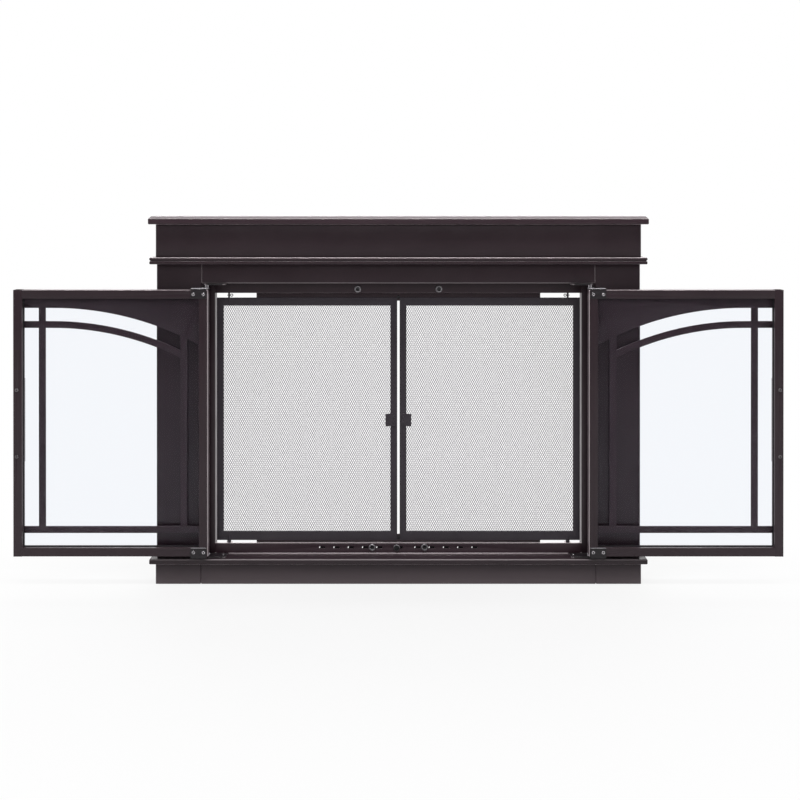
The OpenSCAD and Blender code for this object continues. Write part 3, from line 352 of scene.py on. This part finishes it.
# The strips of a rounded fold: how wide they are at most, and the least and most turn between them
FOLD_STRIP = 1.2 * MM
FOLD_TURN = (1.5, 15.0)


def on_fold(face):
    """Whether a face is one of the narrow strips that make up a rounded fold."""
    for edge in face.edges:
        if len(edge.link_faces) != 2:
            continue
        turn = math.degrees(edge.calc_face_angle(0.0))
        if FOLD_TURN[0] < turn < FOLD_TURN[1] and face_width(face, edge) < FOLD_STRIP:
            return True
    return False


# The places of a piece's three coats: its own, a painted highlight and a dimmer painted highlight
PLAIN, BRIGHT, DULL = 0, 1, 2
# How far an edge or face turns one way before it counts as looking that way
TURNED = 0.2
TURNED_IN = 0.3
# How far a lip's rounded edge and the cap's chamfer look up, least and most, and a flat top at least
LIP_UP = (TURNED, 0.65)
CHAMFER_UP = (0.5, 0.9)
TOP_UP = 0.9


def up_edges(normal):
    """Painted highlight where an edge looks up."""
    return BRIGHT if normal.z > TURNED else PLAIN


def end_edges(normal):
    """Painted highlight on upright end edges, and the dimmer painted highlight on lower ones."""
    if normal.z < -TURNED:
        return DULL
    return BRIGHT if abs(normal.x) > TURNED else PLAIN


def lip_edges(normal):
    """Painted highlight where an edge looks up and to the front, not on its flat top."""
    return BRIGHT if LIP_UP[0] < normal.z < LIP_UP[1] else PLAIN


# The dimmer painted highlight on every edge
def all_dull(normal):
    return DULL


# Points nearer to each other than this become one, and faces that turn by less, in degrees, one face
MERGE = 0.002 * MM
FLAT = 1.0
BEVEL_STEPS = 3


def softened(node, coats, width=1.0 * MM, edges=up_edges, rim=0.0, sharp=35.0, share=0.3):
    """Replaces a CAD node by the same shape with its edges rounded: bends wide, raw edges finely.

    coats holds the coat and two painted highlights, bright and dull; edges picks one of them by an edge's
    normal.
    width is the widest bevel, share how much of a narrow face one may take, and sharp the least turn, in
    degrees, that gets one. rim is how far the painted highlight reaches down the faces below each part's top.
    """
    mesh = recoated(node, *coats)
    shape = bmesh.new()
    shape.from_mesh(mesh)
    bmesh.ops.remove_doubles(shape, verts=shape.verts, dist=MERGE)
    bmesh.ops.dissolve_limit(shape, angle_limit=math.radians(FLAT), verts=shape.verts,
        edges=shape.edges, use_dissolve_boundaries=False)
    for face in shape.faces:
        # The strips of rounded folds get the painted highlight
        face.material_index = BRIGHT if on_fold(face) else PLAIN
    weights = shape.edges.layers.float.new("bevel_weight_edge")
    for edge in shape.edges:
        if len(edge.link_faces) != 2 or edge.calc_face_angle(0.0) < math.radians(sharp):
            continue
        room = min(face_width(face, edge) for face in edge.link_faces)
        edge[weights] = min(1.0, share * room / width)
    shape.to_mesh(mesh)
    shape.free()
    piece = bpy.data.objects.new(node + "_finish", mesh)
    bpy.context.scene.collection.objects.link(piece)
    bevel = piece.modifiers.new("rounded", "BEVEL")
    bevel.limit_method = "WEIGHT"
    bevel.width = width
    bevel.segments = BEVEL_STEPS
    bevel.material = BRIGHT
    bevel.use_clamp_overlap = True
    bevel.harden_normals = False
    apply_modifiers(piece)
    for polygon in piece.data.polygons:
        polygon.use_smooth = True
        if polygon.material_index == BRIGHT:
            polygon.material_index = edges(polygon.normal)
    if rim:
        bright_rims(piece.data, rim)
    piece.data.set_sharp_from_angle(angle=math.radians(sharp))
    in_place_of(node, piece)
    return piece


def in_place_of(node, piece):
    """Puts a piece in a CAD node's place: on its body and instead of it."""
    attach(piece, body_of(node))
    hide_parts(node)


def bright_rims(mesh, depth):
    """Cuts a strip of this depth under the top of each separate part and gives it the painted highlight."""
    shape = bmesh.new()
    shape.from_mesh(mesh)
    tops = {round(max(v.co.z for face in part for v in face.verts), 5) for part in islands(shape)}
    for top in sorted(tops):
        near = [f for f in shape.faces if top - 5 * depth < f.calc_center_median().z or
            any(abs(v.co.z - top) < depth for v in f.verts)]
        cut = near + list({e for f in near for e in f.edges}) + list({v for f in near for v in f.verts})
        bmesh.ops.bisect_plane(shape, geom=cut, plane_co=(0.0, 0.0, top - depth), plane_no=(0.0, 0.0, 1.0))
        for face in shape.faces:
            if top - depth < face.calc_center_median().z < top + depth:
                face.material_index = BRIGHT
    shape.to_mesh(mesh)
    shape.free()


def apply_modifiers(piece):
    """Turns a piece's modifiers into plain mesh."""
    bpy.context.view_layer.update()
    shaped = piece.evaluated_get(bpy.context.evaluated_depsgraph_get())
    mesh = bpy.data.meshes.new_from_object(shaped)
    piece.modifiers.clear()
    old = piece.data
    piece.data = mesh
    bpy.data.meshes.remove(old)


def islands(shape):
    """The connected parts of a mesh, each a list of faces."""
    left = set(shape.faces)
    while left:
        seed = left.pop()
        part, queue = [seed], [seed]
        while queue:
            for edge in queue.pop().edges:
                for face in edge.link_faces:
                    if face in left:
                        left.remove(face)
                        part.append(face)
                        queue.append(face)
        yield part


# The least turn, in degrees, that stays a sharp edge on round parts
ROUND_SHARP = 40.0
# How far a face looks along a part's axis at least to be one of its ends
END_FACE = 0.95


def two_tone(node, outer, inner, reach, flats=False):
    """Replaces a CAD node of round parts by the same shape with a second coat near each part's axis.

    reach is how far from the axis the second coat goes; with flats the flat ends get it too.
    """
    mesh = recoated(node, outer, inner)
    shape = bmesh.new()
    shape.from_mesh(mesh)
    bmesh.ops.remove_doubles(shape, verts=shape.verts, dist=MERGE)
    for part in islands(shape):
        points = [v.co for face in part for v in face.verts]
        low = Vector([min(p[i] for p in points) for i in range(3)])
        high = Vector([max(p[i] for p in points) for i in range(3)])
        axis = 1 if faces_front(part) else 2
        for face in part:
            out = face.calc_center_median() - (low + high) / 2
            out[axis] = 0.0
            flat = flats and abs(face.normal[axis]) > END_FACE
            face.material_index = 1 if flat or out.length < reach else 0
            face.smooth = True
    shape.to_mesh(mesh)
    shape.free()
    mesh.set_sharp_from_angle(angle=math.radians(ROUND_SHARP))
    piece = bpy.data.objects.new(node + "_finish", mesh)
    bpy.context.scene.collection.objects.link(piece)
    in_place_of(node, piece)


def faces_front(part):
    """Whether a round part's flat faces look along Y rather than along Z."""
    area = [0.0, 0.0, 0.0]
    for face in part:
        for i in range(3):
            if abs(face.normal[i]) > 0.99:
                area[i] += face.calc_area()
    return area[1] > area[2]


SURROUND = [
    "frieze_panel", "left_column", "right_column", "left_jamb", "right_jamb", "top_stop_strip",
    "bottom_stop_strip", "lintel_clamps", "floor_brackets", "shutter_guide",
]
# Widest bevel on the plinth, the hinge brackets, the shutter, the doors, the screens and their pulls
PLINTH_EDGE, BRACKET_EDGE, SHUTTER_EDGE = 0.6 * MM, 0.5 * MM, 0.3 * MM
DOOR_EDGE, SCREEN_EDGE, PULL_EDGE = 0.8 * MM, 0.5 * MM, 0.4 * MM
# How far the bottom rail's painted highlight rims reach down, and how much of a hinge plate's faces its
# bevels take
RAIL_RIM = 0.55 * MM
PLATE_SHARE = 0.4
# How far from its axis the painted shade in a catch's well and a screw's recess reaches
WELL_REACH = 5.0 * MM
RECESS_REACH = 1.6 * MM

for node in SURROUND:
    softened(node, TRIM)
for node in ("header_panel", "inner_top_rail"):
    softened(node, SOFT_TRIM, edges=end_edges)
softened("mid_molding", SOFT_TRIM)
softened("base_ledge", LEDGE_TRIM)
softened("inner_bottom_rail", RAIL_TRIM, edges=lip_edges, rim=RAIL_RIM)
cap = softened("mantel_cap", CAP_TRIM)
# The cap's chamfer, which looks up, gets the dimmer painted highlight
for polygon in cap.data.polygons:
    if CHAMFER_UP[0] < polygon.normal.z < CHAMFER_UP[1] and polygon.material_index == PLAIN:
        polygon.material_index = DULL
for node in ("left_plinth", "centre_plinth", "right_plinth"):
    softened(node, PLINTH_TRIM, PLINTH_EDGE)
for node in ("left_hinge_brackets", "right_hinge_brackets"):
    softened(node, HINGE_TRIM, BRACKET_EDGE, all_dull)
# The shutter plate is near black all over, painted shade seen through the slots
softened("shutter_plate", (SHADE_BLACK, SHADE_BLACK, SHADE_BLACK), SHUTTER_EDGE)
two_tone("magnet_catches", CUP_RIM, CUP_WELL, WELL_REACH)
two_tone("shutter_knob", CUP_RIM, CUP_WELL, 0.0, flats=True)
for node in ("bracket_screws", "clamp_screws"):
    two_tone(node, ZINC, CUP_WELL, RECESS_REACH)
paint("hinge_pins", PIN_STEEL)
paint("screen_bushings", SCREEN_COAT)

SIDES = ("left", "right")
for side in SIDES:
    inward = 1.0 if side == "left" else -1.0
    for part in ("free_stile", "top_rail", "bottom_rail", "handle"):
        softened(f"{side}_door_{part}", SOFT_TRIM, DOOR_EDGE)
    softened(f"{side}_door_overlay", OVERLAY_TRIM, DOOR_EDGE)
    # Painted highlight on the hinge stile's edges that look up or towards the middle
    softened(f"{side}_door_hinge_stile", TRIM, DOOR_EDGE,
        lambda normal: BRIGHT if normal.z > TURNED or normal.x * inward > TURNED_IN else PLAIN)
    plates = softened(f"{side}_door_hinge_plates", PLATE_TRIM, share=PLATE_SHARE)
    # The plates' flat tops get the painted highlight of the hinge tops
    for polygon in plates.data.polygons:
        if polygon.normal.z > TOP_UP:
            polygon.material_index = DULL
    paint(f"{side}_door_glass", GLASS)
    paint(f"{side}_door_gasket", GASKET)
    two_tone(f"{side}_door_handle_screws", SCREW_BRONZE, CUP_WELL, RECESS_REACH)
    two_tone(f"{side}_door_hinge_screws", ZINC, CUP_WELL, RECESS_REACH)
    softened(f"{side}_screen_frame", SCREEN_TRIM, SCREEN_EDGE)
    softened(f"{side}_screen_pull", SCREEN_TRIM, PULL_EDGE)
    paint(f"{side}_screen_rivets", SCREEN_COAT)
    paint(f"{side}_screen_split_pin", SCREEN_COAT)

# ---------------------------------------------------------------- expanded metal mesh

DIAMOND_W = 5.05 * MM
DIAMOND_H = 9.2 * MM
STRAND_W = 0.86 * MM
STRAND_T = 0.7 * MM
# How far the strands that lean one way lie before or behind the sheet's middle
STRAND_LIFT = 0.22 * MM
# The corners of a strand's cross-section, in halves of its width and thickness
CORNERS = ((1, 1), (-1, 1), (-1, -1), (1, -1))


def strands(x0, x1, z0, z1, lean):
    """Ends, in a rectangle, of parallel strands that rise one diamond's height per width; lean is 1 or -1."""
    slope = DIAMOND_H / DIAMOND_W
    reach = (z1 - z0) / slope
    count = int((x1 - x0 + reach) / DIAMOND_W)
    for k in range(1, count + 1):
        low_x = x0 - reach + k * DIAMOND_W
        ends = []
        for x in (max(low_x, x0), min(low_x + reach, x1)):
            z = z0 + (x - low_x) * slope
            ends.append((x, z) if lean > 0 else (x0 + x1 - x, z))
        if abs(ends[0][0] - ends[1][0]) > STRAND_W:
            yield ends


def add_strand(shape, start, end, y):
    """Adds a bar with closed ends between two points, given as X and Z, at this Y."""
    along = Vector((end[0] - start[0], 0.0, end[1] - start[1])).normalized()
    across = Vector((-along.z, 0.0, along.x)) * STRAND_W / 2
    deep = Vector((0.0, STRAND_T / 2, 0.0))
    first, last = ([shape.verts.new(Vector((x, y, z)) + i * across + j * deep) for i, j in CORNERS]
        for x, z in (start, end))
    for i in range(4):
        shape.faces.new((first[i], first[(i + 1) % 4], last[(i + 1) % 4], last[i]))
    shape.faces.new(list(reversed(first)))
    shape.faces.new(last)


def expanded_mesh(side):
    """A sheet of expanded metal with diamonds at their real size, in place of the coarse lattice."""
    node = f"{side}_screen_mesh"
    low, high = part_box(node)
    middle = (low.y + high.y) / 2
    shape = bmesh.new()
    for lean in (1, -1):
        for start, end in strands(low.x, high.x, low.z, high.z, lean):
            add_strand(shape, start, end, middle + lean * STRAND_LIFT)
    bmesh.ops.recalc_face_normals(shape, faces=shape.faces)
    mesh = bpy.data.meshes.new(f"{side}_expanded_metal")
    shape.to_mesh(mesh)
    shape.free()
    mesh.materials.append(WIRE_COAT)
    piece = bpy.data.objects.new(f"{side}_expanded_metal", mesh)
    bpy.context.scene.collection.objects.link(piece)
    in_place_of(node, piece)


for side in SIDES:
    expanded_mesh(side)

# ---------------------------------------------------------------- floor, light and camera

FLOOR_HALF = 14.0
FLOOR_COLOUR = (0.58, 0.58, 0.58, 1.0)
# The zone that keeps the shadow: how much white it holds at its middle, and how far off the white starts to
# grow and is full, in metres of a distance that is scaled and then shifted along each axis
FLOOR_GLOW = 0.7
FLOOR_FADE = (0.15, 0.8)
FLOOR_SHAPE = (0.6, 1.0, 1.0)
FLOOR_SHIFT = (0.0, 0.28, 0.0)
# How strongly the world lights the object from the front and from behind, and between which directions,
# from -1 for the front to 1 for behind, the one turns into the other
WORLD_FRONT = 0.14
WORLD_BACK = 1.0
WORLD_TURN = (-1.0, 0.4)
# Where, from front to back, the white backdrop begins and is full for gloss
BACKDROP_EDGE = (-0.1, 0.25)
# The kinds of ray that see the backdrop and the white floor all round
SEEN = ("Is Camera Ray", "Is Transmission Ray")
WHITE = (1.0, 1.0, 1.0, 1.0)
# Each lamp's name, place, the point that it faces, its size and its power
LAMPS = [
    ("overhead", (0.0, -0.5, 2.9), (0.0, -0.05, 0.5), (3.2, 0.25), 60.0),
    ("behind", (0.0, 2.0, 1.5), (0.0, 0.0, 0.5), (3.5, 0.4), 30.0),
    ("front_fill", (0.0, -2.9, 2.5), (0.0, 0.0, 0.4), (3.0, 1.6), 32.0),
    ("left_side", (-2.4, -0.9, 0.9), (0.3, 0.0, 0.4), (0.5, 1.8), 7.0),
    ("right_side", (2.4, -0.9, 0.9), (-0.3, 0.0, 0.4), (0.5, 1.8), 7.0),
]


def backdrop_share(tree, coordinate):
    """1 for what is seen directly, and for gloss that looks behind the object; 0 for the rest.

    coordinate grows from -1 in front of the object to 1 behind it.
    """
    behind = smooth_step(tree, coordinate, *BACKDROP_EDGE)
    gloss = combined(tree, "MULTIPLY", behind, seen_rays(tree, ("Is Glossy Ray",)))
    return combined(tree, "MAXIMUM", gloss, seen_rays(tree, SEEN))


def studio_floor():
    """A white floor that keeps the soft shadow near the object and runs into the white backdrop."""
    shader = Shader("floor", Roughness=0.8, Specular_IOR_Level=0.0, Base_Color=FLOOR_COLOUR)
    tree = shader.tree
    glow = tree.nodes.new("ShaderNodeEmission")
    glow.inputs["Color"].default_value = WHITE
    split = tree.nodes.new("ShaderNodeSeparateXYZ")
    shader.link(shader.place, split.inputs[0])
    length = tree.nodes.new("ShaderNodeVectorMath")
    length.operation = "LENGTH"
    shader.link(shader.stretched(FLOOR_SHAPE, FLOOR_SHIFT), length.inputs[0])
    far = shader.levels(length.outputs["Value"], *FLOOR_FADE, to_low=FLOOR_GLOW)
    share = combined(tree, "MULTIPLY", far, backdrop_share(tree, split.outputs["Y"]))
    mixed_shaders(tree, share, shader.bsdf.outputs[0], glow.outputs[0], shader.output.inputs["Surface"])
    mesh = bpy.data.meshes.new("studio_floor")
    h = FLOOR_HALF
    mesh.from_pydata([(-h, -h, 0), (h, -h, 0), (h, h, 0), (-h, h, 0)], [], [(0, 1, 2, 3)])
    mesh.materials.append(shader.material)
    floor = bpy.data.objects.new("studio_floor", mesh)
    bpy.context.scene.collection.objects.link(floor)


def studio_world():
    """A white backdrop for what is seen directly or in gloss, and even light, dimmer in front."""
    world = bpy.data.worlds.new("studio")
    bpy.context.scene.world = world
    world.use_nodes = True
    tree = world.node_tree
    light = tree.nodes["Background"]
    light.inputs["Color"].default_value = WHITE
    split = tree.nodes.new("ShaderNodeSeparateXYZ")
    tree.links.new(tree.nodes.new("ShaderNodeTexCoord").outputs["Generated"], split.inputs[0])
    level = smooth_step(tree, split.outputs["Y"], *WORLD_TURN, WORLD_FRONT, WORLD_BACK)
    tree.links.new(level, light.inputs["Strength"])
    white = tree.nodes.new("ShaderNodeBackground")
    white.inputs["Color"].default_value = WHITE
    mixed_shaders(tree, backdrop_share(tree, split.outputs["Y"]), light.outputs[0], white.outputs[0],
        tree.nodes["World Output"].inputs["Surface"])


def softbox(name, place, aim, size, watts):
    """A large area lamp that points from place to aim."""
    data = bpy.data.lights.new(name, "AREA")
    data.shape = "RECTANGLE"
    data.size, data.size_y = size
    data.energy = watts
    lamp = bpy.data.objects.new(name, data)
    lamp.location = place
    lamp.rotation_euler = (Vector(aim) - Vector(place)).to_track_quat("-Z", "Y").to_euler()
    bpy.context.scene.collection.objects.link(lamp)


# The camera stands in front of the middle, all but level, and looks down by a shift of the picture
CAMERA_PLACE = (0.0, -2.284, 0.8876)
CAMERA_PITCH = 0.0027
SENSOR_MM = 36.0
LENS_MM = 43.91
SHIFT = (0.002, -0.25)


def camera():
    data = bpy.data.cameras.new("camera")
    data.sensor_width = SENSOR_MM
    data.lens = LENS_MM
    data.shift_x, data.shift_y = SHIFT
    eye = bpy.data.objects.new("camera", data)
    eye.location = CAMERA_PLACE
    eye.rotation_euler = (math.pi / 2 - CAMERA_PITCH, 0.0, 0.0)
    bpy.context.scene.collection.objects.link(eye)
    bpy.context.scene.camera = eye


studio_floor()
studio_world()
for name, place, aim, size, watts in LAMPS:
    softbox(name, place, aim, size, watts)
camera()
bpy.context.scene.view_settings.view_transform = "Standard"
